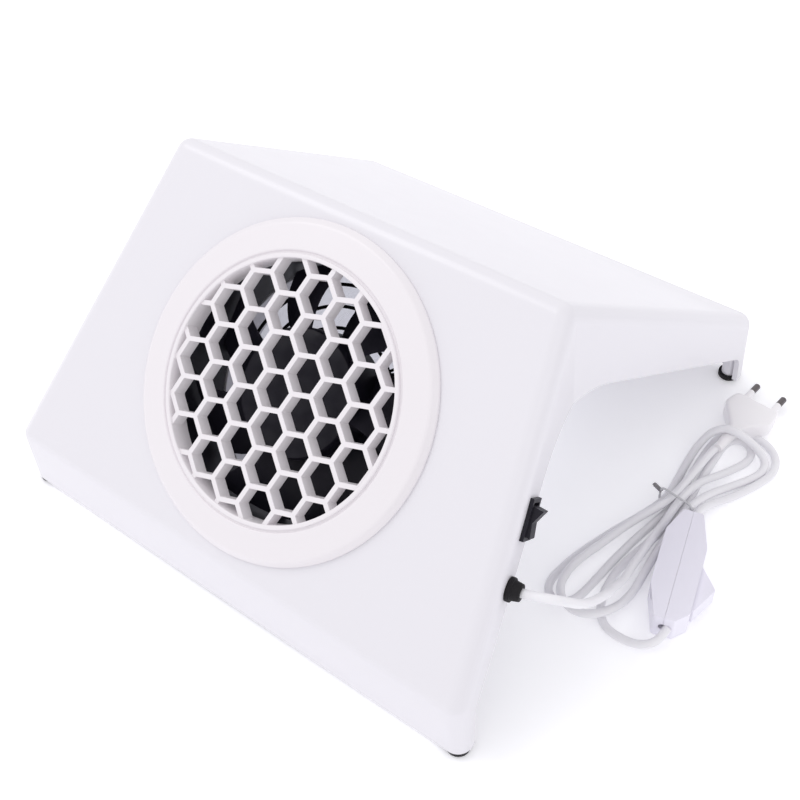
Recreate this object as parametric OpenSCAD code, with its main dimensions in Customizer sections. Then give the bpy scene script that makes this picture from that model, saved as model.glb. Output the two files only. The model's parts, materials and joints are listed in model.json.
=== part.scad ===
// Table-top nail dust collector: a saddle-shaped housing with a suction fan behind
// a honeycomb grille, a dust bag under it, and a mains cord with an inline switch.
// Millimetres. +Z is up, +Y runs to the back, and the origin is on the table at the
// middle of the housing's footprint.

/* [Housing] */
// Width of the sloping face at its foot
front_w = 317.5; // [312:0.5:322]
// Width of the housing along the ridge
ridge_w = 252.7; // [247:0.1:258]
// Width of the housing at the top of its rear wall
rear_w = 303.5; // [298:0.5:308]
// Depth from the front lip to the rear wall
depth = 323.5; // [320:0.5:328]
// Height of the ridge above the table
height = 182.1; // [178:0.1:186]
// Height of the front lip, where the sloping face starts
lip_h = 42.4; // [38:0.2:46]
// Height of the rear wall
rear_h = 48.1; // [44:0.1:52]
// Slope of the suction face above the horizontal
face_angle = 45.6; // [44:0.1:47]
// Outward lean of the side walls, per millimetre of height
side_draft = 0.05; // [0.03:0.01:0.07]
// Thickness of the moulded walls
wall = 3; // [2.4:0.1:3.2]
// Radius of the outer edges
edge_r = 8.5; // [7:0.5:10]

/* [Grille] */
// Distance between neighbouring honeycomb cells
cell_pitch = 20; // [19:0.5:21]
// Thickness of the honeycomb webs
web = 2.6; // [2.2:0.1:3.4]
// Depth of the honeycomb webs
web_depth = 8.6; // [7:0.2:9]
// Radius of the grille's round opening
opening_r = 68; // [66:0.1:69]
// Outer radius of the grille's flange
flange_r = 89.6; // [88:0.1:91]
// Angle of one row of cells across the face
cell_turn = -13.75; // [-30:0.25:30]

/* [Fan] */
// Distance up the sloping face from its foot to the fan's axis
fan_t = 97; // [94:0.5:99]
// Side of the square fan frame
fan_w = 150; // [148:1:152]
// Depth of the fan frame along its axis
fan_depth = 38; // [38:0.5:40]
// Number of impeller blades
blades = 7; // [5:1:9]
// Turn of the impeller when it stands still
blade_phase = 20; // [0:1:51]

/* [Switch] */
// Length of the rocker switch's bezel
bezel_l = 21; // [20:0.5:22]
// Width of the rocker switch's bezel
bezel_w = 13; // [12.6:0.1:13.4]
// Tilt of the rocker to each side of its middle
rocker_tilt = 12; // [8:1:13]

/* [Dust bag] */
// Outer radius of the collar that holds the bag
collar_r = 73.5; // [72.5:0.1:74]

/* [Cord] */
// Diameter of the mains cord
cord_d = 4.8; // [4.6:0.1:5.2]

/* [Hidden] */
$fn = 64;

white = "white";
dark = [0.07, 0.07, 0.08];
steel = "silver";
cream = [0.95, 0.94, 0.93];

// Gap between parts that slide, and between parts that only sit in each other
slide_gap = 0.3;
seat_gap = 0.1;

foot_h = 4;
front_y = -depth / 2;
rear_y = depth / 2;
face_len = (height - lip_h) / sin(face_angle);
ridge_y = front_y + face_len * cos(face_angle);
rear_slope = atan2(height - rear_h, rear_y - ridge_y);

// ---------------------------------------------------------------- geometry helpers

function unit(v) = v / norm(v);
function plane_at(n, p) = [unit(n), unit(n) * p];
function inset(pl, d) = [pl[0], pl[1] - d];
function meet(a, b, c) =
    (a[1] * cross(b[0], c[0]) + b[1] * cross(c[0], a[0]) + c[1] * cross(a[0], b[0]))
    / (a[0] * cross(b[0], c[0]));
function flip_x(p) = [-p[0], p[1], p[2]];

// A point t up the sloping face from its foot, d below its surface, x across it
function face_point(t, d, x = 0) = [
    x,
    front_y + t * cos(face_angle) + d * sin(face_angle),
    lip_h + t * sin(face_angle) - d * cos(face_angle)
];

// An outline [x, y, radius] with each corner rounded by its own radius
function corner_arc(a, b, c, r) =
    let (
        u = unit(a - b),
        v = unit(c - b),
        half = acos(u * v) / 2,
        centre = b + unit(u + v) * r / sin(half),
        start = b + u * r / tan(half),
        sweep = 180 - 2 * half,
        side = sign(cross([u[0], u[1], 0], [v[0], v[1], 0])[2]),
        steps = max(1, round(sweep / 9)),
        arm = start - centre
    )
    [for (i = [0 : steps])
        let (g = -side * sweep * i / steps)
        centre + [arm[0] * cos(g) - arm[1] * sin(g), arm[0] * sin(g) + arm[1] * cos(g)]];
function xy(p) = [p[0], p[1]];
function rounded(pts) = [
    for (i = [0 : len(pts) - 1])
        let (n = len(pts), a = xy(pts[(i + n - 1) % n]), b = xy(pts[i]), c = xy(pts[(i + 1) % n]))
        each (pts[i][2] == 0 ? [b] : corner_arc(a, b, c, pts[i][2]))
];

// Points of a smooth curve through the given route, `per` steps to each stretch
function spline_at(a, b, c, d, s) =
    0.5 * (2 * b + (c - a) * s + (2 * a - 5 * b + 4 * c - d) * s * s
           + (3 * b - a - 3 * c + d) * s * s * s);
function smooth(route, per) =
    let (n = len(route))
    [for (i = [0 : n - 2]) for (k = [0 : per - 1])
        spline_at(route[max(i - 1, 0)], route[i], route[i + 1], route[min(i + 2, n - 1)], k / per),
     route[n - 1]];

// A tube of radius r swept along a path
module sweep_tube(path, r, sides = 8) {
    n = len(path);
    tangents = [for (i = [0 : n - 1]) unit(path[min(i + 1, n - 1)] - path[max(i - 1, 0)])];
    rings = [
        for (i = [0 : n - 1])
            let (
                t = tangents[i],
                across = unit(cross(t, abs(t[2]) > 0.9 ? [0, 1, 0] : [0, 0, 1])),
                up = cross(across, t)
            )
            for (k = [0 : sides - 1])
                let (g = 360 * (k + 0.5) / sides)
                path[i] + r * (across * cos(g) + up * sin(g))
    ];
    walls = [for (i = [0 : n - 2]) for (k = [0 : sides - 1])
        let (a = i * sides + k, b = i * sides + (k + 1) % sides)
        each [[a, b, b + sides], [a, b + sides, a + sides]]];
    first = [for (k = [sides - 1 : -1 : 0]) k];
    last = [for (k = [0 : sides - 1]) (n - 1) * sides + k];
    polyhedron(rings, concat(walls, [first, last]), convexity = 6);
}

module ring(r_out, r_in, h) {
    difference() {
        cylinder(r = r_out, h = h);
        translate([0, 0, -1]) cylinder(r = r_in, h = h + 2);
    }
}

module at_corners(s) {
    for (x = [-s, s], y = [-s, s]) translate([x, y, 0]) children();
}

// ------------------------------------------------------------------- local frames

// Foot of the sloping face: local +Z leaves the face, local +Y runs up it
module on_face() {
    translate(face_point(0, 0)) rotate([face_angle, 0, 0]) children();
}

// The same, on the axis of the fan and grille
module on_fan() {
    translate(face_point(fan_t, 0)) rotate([face_angle, 0, 0]) children();
}

// The right side wall's outer plane
face_foot = [front_w / 2, front_y, lip_h];
ridge_end = [ridge_w / 2, ridge_y, height];
rear_end = [rear_w / 2, rear_y, rear_h];
function side_normal(a, b) =
    let (e = b - a) unit([1, -(e[0] + side_draft * e[2]) / e[1], side_draft]);
side_front_n = side_normal(face_foot, ridge_end);
side_rear_n = side_normal(ridge_end, rear_end);
edge_dir = unit(ridge_end - face_foot);
depth_dir = cross(edge_dir, side_front_n);
function side_x(p) = face_foot[0]
    - (side_front_n[1] * (p[1] - front_y) + side_front_n[2] * (p[2] - lip_h)) / side_front_n[0];
function side_point(t, d) = let (p = face_point(t, d)) [side_x(p), p[1], p[2]];

function terminal_tip(s) = side_point(switch_t, switch_d)
    - (switch_body_d + 6) * side_front_n + s * terminal_y * edge_dir;

// On the right side wall: local +Z leaves the wall, +Y runs up the strip, +X inwards
module on_side(t, d) {
    p = side_point(t, d);
    multmatrix([
        [depth_dir[0], edge_dir[0], side_front_n[0], p[0]],
        [depth_dir[1], edge_dir[1], side_front_n[1], p[1]],
        [depth_dir[2], edge_dir[2], side_front_n[2], p[2]]
    ]) children();
}

// ------------------------------------------------------------------ housing shell

lip_plane = plane_at([0, -1, 0], face_foot);
face_plane = plane_at([0, -sin(face_angle), cos(face_angle)], face_foot);
back_plane = plane_at([0, sin(rear_slope), cos(rear_slope)], ridge_end);
wall_plane = plane_at([0, 1, 0], rear_end);
side_front = [side_front_n, side_front_n * face_foot];
side_rear = [side_rear_n, side_rear_n * ridge_end];
station = plane_at([0, 1, 0], ridge_end);
below = plane_at([0, 0, -1], [0, 0, -30]);

ridge_centre = meet(inset(face_plane, edge_r), inset(back_plane, edge_r), inset(side_front, edge_r));
front_centres = [
    meet(inset(lip_plane, edge_r), inset(side_front, edge_r), below),
    meet(inset(lip_plane, edge_r), inset(face_plane, edge_r), inset(side_front, edge_r)),
    meet(station, inset(side_front, edge_r), below)
];
rear_centres = [
    meet(station, inset(side_rear, edge_r), below),
    meet(inset(wall_plane, edge_r), inset(back_plane, edge_r), inset(side_rear, edge_r)),
    meet(inset(wall_plane, edge_r), inset(side_rear, edge_r), below)
];

module rounded_block(centres, r, facets) {
    hull() for (p = concat(centres, [ridge_centre])) {
        translate(p) sphere(r = r, $fn = facets);
        translate(flip_x(p)) sphere(r = r, $fn = facets);
    }
}

module envelope(r, facets) {
    rounded_block(front_centres, r, facets);
    rounded_block(rear_centres, r, facets);
}

// The open arch in each side, drawn in the YZ plane. The strip along the front leg
// is strip_low deep at its foot and strip_high deep near the ridge.
strip_low = 20;
strip_high = 28.5;
strip_top_t = 120;
skirt_slope = 31.7;
skirt_h = 92.4;
skirt_y = front_y + 198;
strip_foot = face_point(0, strip_low);
strip_head = face_point(strip_top_t, strip_high);
strip_angle = atan2(strip_head[2] - strip_foot[2], strip_head[1] - strip_foot[1]);
apex_y = (skirt_h - strip_foot[2] + strip_foot[1] * tan(strip_angle) + skirt_y * tan(skirt_slope))
    / (tan(strip_angle) + tan(skirt_slope));
apex_z = strip_foot[2] + (apex_y - strip_foot[1]) * tan(strip_angle);
post_y = rear_y - 13;
arch = [
    [front_y + 11, -10, 0],
    [strip_foot[1], strip_foot[2], 12],
    [apex_y, apex_z, 56],
    [post_y, skirt_h - (post_y - skirt_y) * tan(skirt_slope), 10],
    [post_y, -10, 0]
];

foot_r = 6.4;
foot_inset = 7;
foot_x_front = front_w / 2 - foot_inset;
foot_x_rear = rear_w / 2 - foot_inset;
foot_places = [
    [foot_x_front, front_y + foot_inset], [-foot_x_front, front_y + foot_inset],
    [foot_x_rear, rear_y - foot_inset], [-foot_x_rear, rear_y - foot_inset]
];
post_r = 4.6;
post_top = 30;
stem_r = 2.5;
stem_l = 9;

panel_hole_r = 75;
fan_front = 9;
fan_hole = 62.5;
boss_r = 5;

// Wiring compartment, in the face frame: x across the face, t up it from its foot
bay_x = 81;
bay_low = 43;
bay_high = 117;
bay_depth = 25;
rib = 2;
switch_t = 96;
switch_d = 19.5;
bushing_t = 62;
bushing_d = 17.5;
cover_holes = [
    [bay_x + 6, bay_low + 6], [bay_x + 6, bay_high - 6], [122, bay_high - 6], [134, bay_low + 6]
];

function bay_edge(t) = side_point(t, bay_depth)[0] - 0.6 * wall;

module face_box(x0, x1, t0, t1, z0, z1) {
    translate([x0, t0, z0]) cube([x1 - x0, t1 - t0, z1 - z0]);
}

module bay_ribs() {
    face_box(bay_x - rib, bay_x, bay_low, bay_high, -bay_depth, -wall + 0.5);
    face_box(bay_x - rib, bay_edge(bay_low), bay_low - rib, bay_low, -bay_depth, -wall + 0.5);
    face_box(bay_x - rib, bay_edge(bay_high + rib), bay_high, bay_high + rib, -bay_depth, -wall + 0.5);
    for (h = cover_holes) {
        translate([h[0], h[1], -bay_depth]) cylinder(r = 3.5, h = bay_depth - wall + 0.5, $fn = 24);
    }
    for (s = [-1, 1]) {
        translate([clamp_x, clamp_t + s * clamp_gap, -clamp_z])
            cylinder(r = 3, h = clamp_z - wall + 0.5, $fn = 24);
    }
}

module bay_holes() {
    for (h = cover_holes) {
        translate([h[0], h[1], -bay_depth - 1]) cylinder(r = 1.3, h = 13, $fn = 24);
    }
    for (s = [-1, 1]) {
        translate([clamp_x, clamp_t + s * clamp_gap, -clamp_z - 1])
            cylinder(r = 1.2, h = 9, $fn = 24);
    }
    // the fan's leads enter through a notch in the compartment's inner rib
    face_box(bay_x - rib - 1, bay_x + 1, fan_t - 3, fan_t + 3, -bay_depth - 1, -bay_depth + 5);
}

module housing_shell() {
    color(white)
    difference() {
        union() {
            difference() {
                envelope(edge_r, 40);
                envelope(edge_r - wall, 24);
                rotate([90, 0, 90]) translate([0, 0, -200]) linear_extrude(400) polygon(rounded(arch));
                on_fan() translate([0, 0, -30]) cylinder(r = panel_hole_r, h = 60, $fn = 128);
            }
            for (p = foot_places)
                translate([p[0], p[1], foot_h]) cylinder(r = post_r, h = post_top, $fn = 32);
            on_fan() translate([0, 0, -fan_front]) at_corners(fan_hole)
                cylinder(r = boss_r, h = fan_front - wall + 0.5, $fn = 32);
            on_face() bay_ribs();
        }
        translate([-200, -200, -60]) cube([400, 400, 60 + foot_h]);
        for (p = foot_places)
            translate([p[0], p[1], 0]) cylinder(r = stem_r, h = foot_h + stem_l + 1, $fn = 24);
        on_fan() translate([0, 0, -fan_front - 1]) at_corners(fan_hole) cylinder(r = 1.7, h = 6, $fn = 24);
        on_face() bay_holes();
        on_side(switch_t, switch_d) translate([0, 0, -8])
            cube([switch_body_w + 0.3, switch_body_l + 0.3, 20], center = true);
        on_side(bushing_t, bushing_d) translate([0, 0, -20])
            cylinder(r = bushing_neck_r + seat_gap, h = 30, $fn = 32);
    }
}

module rubber_feet() {
    color(dark)
    for (p = foot_places) translate([p[0], p[1], 0]) {
        cylinder(r1 = foot_r - 0.8, r2 = foot_r, h = 1.2, $fn = 48);
        translate([0, 0, 1.2]) cylinder(r = foot_r, h = foot_h - 1.2, $fn = 48);
        translate([0, 0, 1]) cylinder(r = stem_r - seat_gap, h = foot_h + stem_l - 1, $fn = 24);
    }
}

// ------------------------------------------------------------------------- grille

hex_r = (cell_pitch - web) / sqrt(3);
rim_w = 2.4;
rim_h = 6.6;
dome_h = 6;
spigot_r = panel_hole_r - 0.5;
spigot_l = 7;
cell_shift = [-2.5, -1];
rows = ceil((opening_r + cell_pitch) / cell_pitch) + 1;

module honeycomb() {
    difference() {
        translate([0, 0, rim_h - 1.4 - web_depth]) cylinder(r = opening_r + 0.6, h = web_depth, $fn = 128);
        translate(cell_shift) rotate([0, 0, cell_turn])
            for (i = [-rows : rows], j = [-rows : rows]) {
                c = cell_pitch * [i + j / 2, j * sqrt(3) / 2];
                if (norm(c) < opening_r + hex_r + norm(cell_shift))
                    translate([c[0], c[1], -20]) rotate([0, 0, 30]) cylinder(r = hex_r, h = 40, $fn = 6);
            }
    }
}

// Half section of the flange: rim round the opening, groove, dome and outer edge
flange_section = rounded([
    [opening_r, -spigot_l, 0], [opening_r, rim_h, 0.8], [opening_r + rim_w, rim_h, 0.8],
    [opening_r + rim_w, dome_h - 1.2, 0], [opening_r + rim_w + 1.2, dome_h - 1.2, 0.4],
    [opening_r + rim_w + 1.8, dome_h, 1], [flange_r - 3, dome_h - 1.4, 3], [flange_r, 1.5, 1.2],
    [flange_r, slide_gap / 2, 0], [spigot_r, slide_gap / 2, 0], [spigot_r, -spigot_l, 0]
]);

module grille() {
    color(cream) on_fan() {
        rotate_extrude($fn = 128) polygon(flange_section);
        honeycomb();
    }
}

// ---------------------------------------------------------------------------- fan
// Heights are measured along the fan's axis, downwards from the outer face

fan_back = fan_front + fan_depth;
duct_r = 71.5;
hub_r = 35;
blade_r = duct_r - 2;
hub_top = fan_front + 2;
base_top = fan_back - 4;
shaft_r = 2.5;
bearing_r = 8;
bearing_w = 5;
tube_r = 11;
tube_top = 20;
bearing_front_z = tube_top + 1;
bearing_rear_z = base_top - bearing_w;
strut_w = 9;
strut_h = 3;

module rounded_square(side, r, h) {
    hull() at_corners(side / 2 - r) cylinder(r = r, h = h, $fn = 32);
}

module fan_frame() {
    color(dark) on_fan()
    difference() {
        union() {
            translate([0, 0, -fan_front - 4]) rounded_square(fan_w, 11, 4);
            translate([0, 0, -fan_back]) rounded_square(fan_w, 11, 4);
            translate([0, 0, -fan_back]) cylinder(r = duct_r + 2.5, h = fan_depth, $fn = 96);
            translate([0, 0, -fan_back]) at_corners(fan_hole) cylinder(r = 5.5, h = fan_depth, $fn = 24);
        }
        difference() {
            translate([0, 0, -fan_back - 1]) cylinder(r = duct_r, h = fan_depth + 2, $fn = 96);
            translate([0, 0, -fan_back]) cylinder(r = 33, h = fan_back - base_top, $fn = 64);
            translate([0, 0, -base_top - 1]) cylinder(r = tube_r, h = base_top + 1 - tube_top, $fn = 48);
            for (k = [0 : 3]) rotate([0, 0, 90 * k])
                translate([28, -strut_w / 2, -fan_back]) cube([50, strut_w, strut_h]);
        }
        // notch that lets the motor's leads out over a strut
        translate([duct_r - 2, -3, -fan_back + strut_h]) cube([10, 6, 4]);
        translate([0, 0, -fan_back - 1]) at_corners(fan_hole)
            cylinder(r = 2.2, h = fan_depth + 2, $fn = 24);
        translate([0, 0, -fan_back - 1])
            cylinder(r = bearing_r + 0.02, h = fan_back + 1 - bearing_rear_z, $fn = 48);
        translate([0, 0, -bearing_front_z - bearing_w]) cylinder(r = bearing_r + 0.02, h = 30, $fn = 48);
        translate([0, 0, -fan_back - 1]) cylinder(r = bearing_r - 2, h = 60, $fn = 48);
    }
}

module bearing(z) {
    color(steel) on_fan() translate([0, 0, -z - bearing_w])
        difference() {
            ring(bearing_r, shaft_r + 0.03, bearing_w);
            for (s = [-0.6, bearing_w - 0.4]) translate([0, 0, s]) ring(bearing_r - 1.6, shaft_r + 1.6, 1);
        }
}

module bearing_front() bearing(bearing_front_z);
module bearing_rear() bearing(bearing_rear_z);

blade_h = 28;
blade_pitch = -42;

// Flat blades set at a pitch, trimmed to the swept ring between hub and duct
module fan_blades() {
    intersection() {
        translate([0, 0, -hub_top - 1 - blade_h]) ring(blade_r, hub_r - 1, blade_h);
        for (k = [0 : blades - 1]) rotate([0, 0, 360 * k / blades])
            translate([0, 0, -hub_top - 1 - blade_h / 2]) rotate([blade_pitch, 0, 0])
                translate([hub_r - 4, -1.1, -30]) cube([60, 2.2, 60]);
    }
}

module fan_impeller() {
    color(dark) on_fan() rotate([0, 0, blade_phase]) {
        difference() {
            union() {
                translate([0, 0, -hub_top - 2]) cylinder(r1 = hub_r, r2 = hub_r - 1.5, h = 2, $fn = 64);
                translate([0, 0, -base_top + 2]) cylinder(r = hub_r, h = base_top - hub_top - 4, $fn = 64);
            }
            translate([0, 0, -base_top]) cylinder(r = hub_r - 2, h = base_top - hub_top - 2.4, $fn = 64);
            translate([0, 0, -60]) cylinder(r = shaft_r, h = 60 - hub_top - 1.2, $fn = 32);
        }
        translate([0, 0, -hub_top - 7]) ring(6, shaft_r, 5);
        fan_blades();
    }
}

module rotor_ring() {
    color(steel) on_fan() translate([0, 0, -base_top + 3])
        ring(hub_r - 2, hub_r - 4.6, base_top - hub_top - 8);
}

module fan_shaft() {
    color(steel) on_fan() translate([0, 0, -fan_back + 0.6])
        difference() {
            cylinder(r = shaft_r, h = fan_back - hub_top - 1.8, $fn = 32);
            translate([0, 0, 1.4]) ring(shaft_r + 1, shaft_r - 0.5, 0.8);
        }
}

module shaft_clip() {
    color(steel) on_fan() translate([0, 0, -fan_back + 2.05])
        difference() {
            ring(5, shaft_r - 0.45, 0.7);
            translate([0, -1, -1]) cube([6, 2, 3]);
        }
}

stator_r = 29;
stator_z0 = 38;
stator_h = 16;

module stator_core() {
    color([0.45, 0.46, 0.48]) on_fan() translate([0, 0, -stator_z0])
        difference() {
            ring(stator_r, tube_r + seat_gap, stator_h);
            for (k = [0 : 3]) rotate([0, 0, 90 * k]) {
                translate([17, -1.5, -1]) cube([20, 3, stator_h + 2]);
                translate([20, 0, -1]) cylinder(r = 4.6, h = stator_h + 2, $fn = 24);
            }
        }
}

// Four windings, each a closed loop round one pole, showing above and below the core
module stator_coils() {
    color([0.72, 0.38, 0.16]) on_fan() translate([0, 0, -stator_z0])
        for (k = [0 : 3]) rotate([0, 0, 45 + 90 * k])
            for (z = [-2.8, stator_h + seat_gap])
                translate([15, 0, z])
                    intersection() {
                        translate([0, -8, 0]) cube([10.5, 16, 2.6]);
                        translate([-15, 0, 0]) ring(25.5, 14, 2.6);
                    }
}

lead_r = 1.1;
lead_gap = 1.3;
lead_d = fan_back - strut_h - lead_r - 0.1;

// Two leads from the motor base: over a strut, out of the frame and into the
// compartment, one to the terminal block and one to the switch
module fan_leads() {
    color(dark)
    for (s = [-1, 1]) {
        t = fan_t + lead_gap * s;
        sweep_tube(smooth(concat([
            face_point(t, lead_d, 32),
            face_point(t, lead_d, 52),
            face_point(t, lead_d, 72),
            face_point(t, lead_d - 4, 76.6),
            face_point(t, 32, 77),
            face_point(t, 26, 77.3),
            face_point(t, 22.5, 80),
            face_point(t, 22.5, bay_x + 3)
        ], s > 0 ? [face_point(t + 1, 20, 100), terminal_tip(1)]
                 : [face_point(88, 18, bay_x + 5), face_point(block_t + 13, 10.5, block_x - 0.2)]
        ), 2), lead_r, 8);
    }
}

// ---------------------------------------------------------- outlet guard and collar

wire_r = 1;
spoke_r = 0.8;
guard_z = fan_back + wire_r;
guard_rings = [14, 26, 38, 50, 62];
eye_r = 5;
plate_t = 2.5;
collar_l = 18;
plate_z = fan_back + 2 * wire_r;

module finger_guard() {
    color(dark) on_fan() translate([0, 0, -guard_z]) {
        for (r = guard_rings) rotate_extrude($fn = 48) translate([r, 0]) circle(r = wire_r, $fn = 13);
        for (k = [0 : 3]) rotate([0, 0, 45 + 90 * k]) {
            translate([guard_rings[0], 0, 0]) rotate([0, 90, 0])
                cylinder(r = spoke_r, h = fan_hole * sqrt(2) - eye_r - guard_rings[0] + 1.5, $fn = 16);
            translate([fan_hole * sqrt(2), 0, -wire_r]) ring(eye_r, 2.3, 2 * wire_r);
        }
    }
}

module bag_collar() {
    color(white) on_fan()
    difference() {
        union() {
            translate([0, 0, -plate_z - plate_t]) rounded_square(fan_w, 11, plate_t);
            translate([0, 0, -plate_z - collar_l]) cylinder(r = collar_r, h = collar_l - 1, $fn = 96);
            translate([0, 0, -plate_z - collar_l]) cylinder(r = collar_r + 1.2, h = 2, $fn = 96);
        }
        translate([0, 0, -100]) cylinder(r = collar_r - 2, h = 100, $fn = 96);
        translate([0, 0, -100]) at_corners(fan_hole) cylinder(r = 2.2, h = 100, $fn = 24);
    }
}

module pan_screw(r, head_r, length) {
    // head's seat at z = 0, shank upwards
    cylinder(r = r, h = length, $fn = 24);
    translate([0, 0, -2.2]) difference() {
        cylinder(r1 = head_r - 0.8, r2 = head_r, h = 2.2, $fn = 32);
        for (g = [0, 90]) rotate([0, 0, g]) translate([-2.2, -0.4, -1]) cube([4.4, 0.8, 2]);
    }
}

module fan_screws() {
    color(steel) on_fan() translate([0, 0, -plate_z - plate_t])
        at_corners(fan_hole) pan_screw(1.6, 3.8, plate_z + plate_t - wall - 1.5);
}

// ----------------------------------------------------------------------- dust bag

bag_mouth = plate_z + collar_l + 0.4;
bag_r = collar_r + 0.5;
bag_lumps = [
    // centre x, y, z and radius of each soft corner lying on the table
    [50, 26, 24, 22], [-50, 26, 24, 22], [46, 84, 28, 26], [-46, 84, 28, 26],
    [30, 52, 52, 24], [-30, 52, 52, 24]
];

module dust_bag() {
    color([0.93, 0.93, 0.95])
    hull() {
        on_fan() translate([0, 0, -bag_mouth - 1]) cylinder(r = bag_r - 1, h = 1, $fn = 48);
        for (b = bag_lumps) translate([b[0], b[1], b[2] + 0.3]) sphere(r = b[3], $fn = 24);
    }
}

module bag_elastic() {
    color([0.85, 0.85, 0.88]) on_fan() translate([0, 0, -bag_mouth + 3])
        ring(collar_r + 2.8, collar_r + 0.2, 8);
}

// ------------------------------------------------------------------ rocker switch

switch_body_l = 19;
switch_body_w = 11.4;
switch_body_d = 14;
terminal_y = 5.5;
bezel_t = 2;
rocker_l = 16.4;
rocker_w = 8.6;
rocker_pivot = -1.5;
pivot_pin_r = 1.2;
pivot_pin_l = 1.2;
pivot_gap = 0.06;

module switch_body() {
    color(dark) on_side(switch_t, switch_d)
    difference() {
        union() {
            translate([-bezel_w / 2, -bezel_l / 2, 0]) cube([bezel_w, bezel_l, bezel_t]);
            translate([-switch_body_w / 2, -switch_body_l / 2, -switch_body_d])
                cube([switch_body_w, switch_body_l, switch_body_d + 0.5]);
        }
        translate([-rocker_w / 2 - slide_gap, -rocker_l / 2 - slide_gap, -8.6])
            cube([rocker_w + 2 * slide_gap, rocker_l + 2 * slide_gap, 20]);
        translate([-rocker_w, 0, rocker_pivot]) rotate([0, 90, 0])
            cylinder(r = pivot_pin_r + pivot_gap, h = 2 * rocker_w, $fn = 32);
    }
}

// The rocker's side view: a shallow V whose raised end shows which way it is tilted
rocker_side = [
    [-rocker_l / 2 + 1, -2.6], [-2.2, -4.6], [2.2, -4.6], [rocker_l / 2 - 1, -2.6],
    [rocker_l / 2 - 0.8, 7.4], [0, 5], [-rocker_l / 2 + 0.8, 7.4]
];

module switch_rocker() {
    color(dark) on_side(switch_t, switch_d) translate([0, 0, rocker_pivot])
        rotate([rocker_tilt, 0, 0]) rotate([90, 0, 90]) {
            translate([0, 0, -rocker_w / 2]) linear_extrude(rocker_w) polygon(rocker_side);
            translate([0, 0, -rocker_w / 2 - pivot_pin_l])
                cylinder(r = pivot_pin_r, h = rocker_w + 2 * pivot_pin_l, $fn = 32);
        }
}

module switch_terminals() {
    color(steel) on_side(switch_t, switch_d)
        for (s = [-1, 1]) translate([-2.4, s * terminal_y - 0.4, -switch_body_d - 7]) cube([4.8, 0.8, 7]);
}

// --------------------------------------------------------------- cord entry, inside

cord_r = cord_d / 2;
cord_inside = 32;
bushing_flange_r = 6.2;
bushing_neck_r = 4.8;
bushing_out = 7;
bushing_in = 15;
clamp_x = 124;
clamp_gap = 8;
clamp_z = 13.5;
clamp_in = (side_point(bushing_t, bushing_d)[0] - clamp_x) / side_front_n[0];
clamp_at = side_point(bushing_t, bushing_d) - clamp_in * side_front_n;
clamp_t = (clamp_at[1] - front_y) * cos(face_angle) + (clamp_at[2] - lip_h) * sin(face_angle);

module cord_bushing() {
    color(dark) on_side(bushing_t, bushing_d)
    difference() {
        union() {
            translate([0, 0, -bushing_in]) cylinder(r = bushing_neck_r, h = bushing_in + 1, $fn = 32);
            cylinder(r = bushing_flange_r, h = 2.6, $fn = 48);
            translate([0, 0, 2.6]) cylinder(r1 = 5.2, r2 = 4.4, h = bushing_out - 2.6, $fn = 32);
            translate([0, 0, -wall - 1.6]) cylinder(r = bushing_neck_r + 0.9, h = 1.4, $fn = 32);
        }
        translate([0, 0, -bushing_in - 1])
            cylinder(r = cord_r + seat_gap, h = bushing_in + bushing_out + 2, $fn = 32);
    }
}

module cord_inner_end() {
    color(white) on_side(bushing_t, bushing_d) translate([0, 0, -cord_inside])
        cylinder(r = cord_r, h = cord_inside + bushing_out, $fn = 32);
}

module cord_clamp() {
    color(white) on_face() translate([clamp_x, clamp_t, -clamp_z])
    difference() {
        translate([-4, -clamp_gap - 4, -9]) cube([8, 2 * clamp_gap + 8, 9]);
        translate([-10, -cord_r - 0.5, -6.6]) cube([20, cord_d + 1, 30]);
        for (s = [-1, 1]) translate([0, s * clamp_gap, -20]) cylinder(r = 1.7, h = 30, $fn = 24);
    }
}

module clamp_screws() {
    color(steel) on_face() for (s = [-1, 1])
        translate([clamp_x, clamp_t + s * clamp_gap, -clamp_z - 9])
            pan_screw(1.15, 2.4, 15);
}

block_x = 88;
block_t = 56;
block_l = 12;
block_w = 18;
block_h = 11;
cord_tip = side_point(bushing_t, bushing_d) - (cord_inside - 2) * side_front_n;

module terminal_block() {
    color([0.9, 0.9, 0.86]) on_face() translate([block_x, block_t, -wall - block_h])
    difference() {
        cube([block_l, block_w, block_h]);
        for (y = [5, 13]) {
            translate([-1, y, 5]) rotate([0, 90, 0]) cylinder(r = 1.8, h = block_l + 2, $fn = 24);
            translate([block_l / 2, y, -1]) cylinder(r = 1.8, h = 5, $fn = 24);
        }
    }
}

module terminal_screws() {
    color("goldenrod") on_face() translate([block_x, block_t, -wall - block_h])
        for (y = [5, 13]) translate([block_l / 2, y, 0.6]) cylinder(r = 1.6, h = 2.2, $fn = 24);
}

// Insulated wires: the cord's two cores, to the block and to the switch
module link_wires() {
    color([0.35, 0.22, 0.16]) {
        sweep_tube(smooth([
            cord_tip + lead_gap * edge_dir, face_point(62, 13, 108),
            face_point(block_t + 5, 10.5, block_x + block_l + 0.2)
        ], 3), lead_r, 8);
        sweep_tube(smooth([
            cord_tip - lead_gap * edge_dir, face_point(60, 20.5, 110),
            face_point(76, 21, 109), terminal_tip(-1)
        ], 3), lead_r, 8);
    }
}

module wiring_cover() {
    color(white) on_face() translate([0, 0, -bay_depth - 2.5])
    difference() {
        linear_extrude(2.5) polygon(rounded([
            [bay_x - rib, bay_low - rib, 3], [bay_edge(bay_low) - 3, bay_low - rib, 3],
            [bay_edge(bay_high) - 3.4, bay_high + rib, 3], [bay_x - rib, bay_high + rib, 3]
        ]));
        for (h = cover_holes) translate([h[0], h[1], -1]) cylinder(r = 1.7, h = 5, $fn = 24);
    }
}

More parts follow.
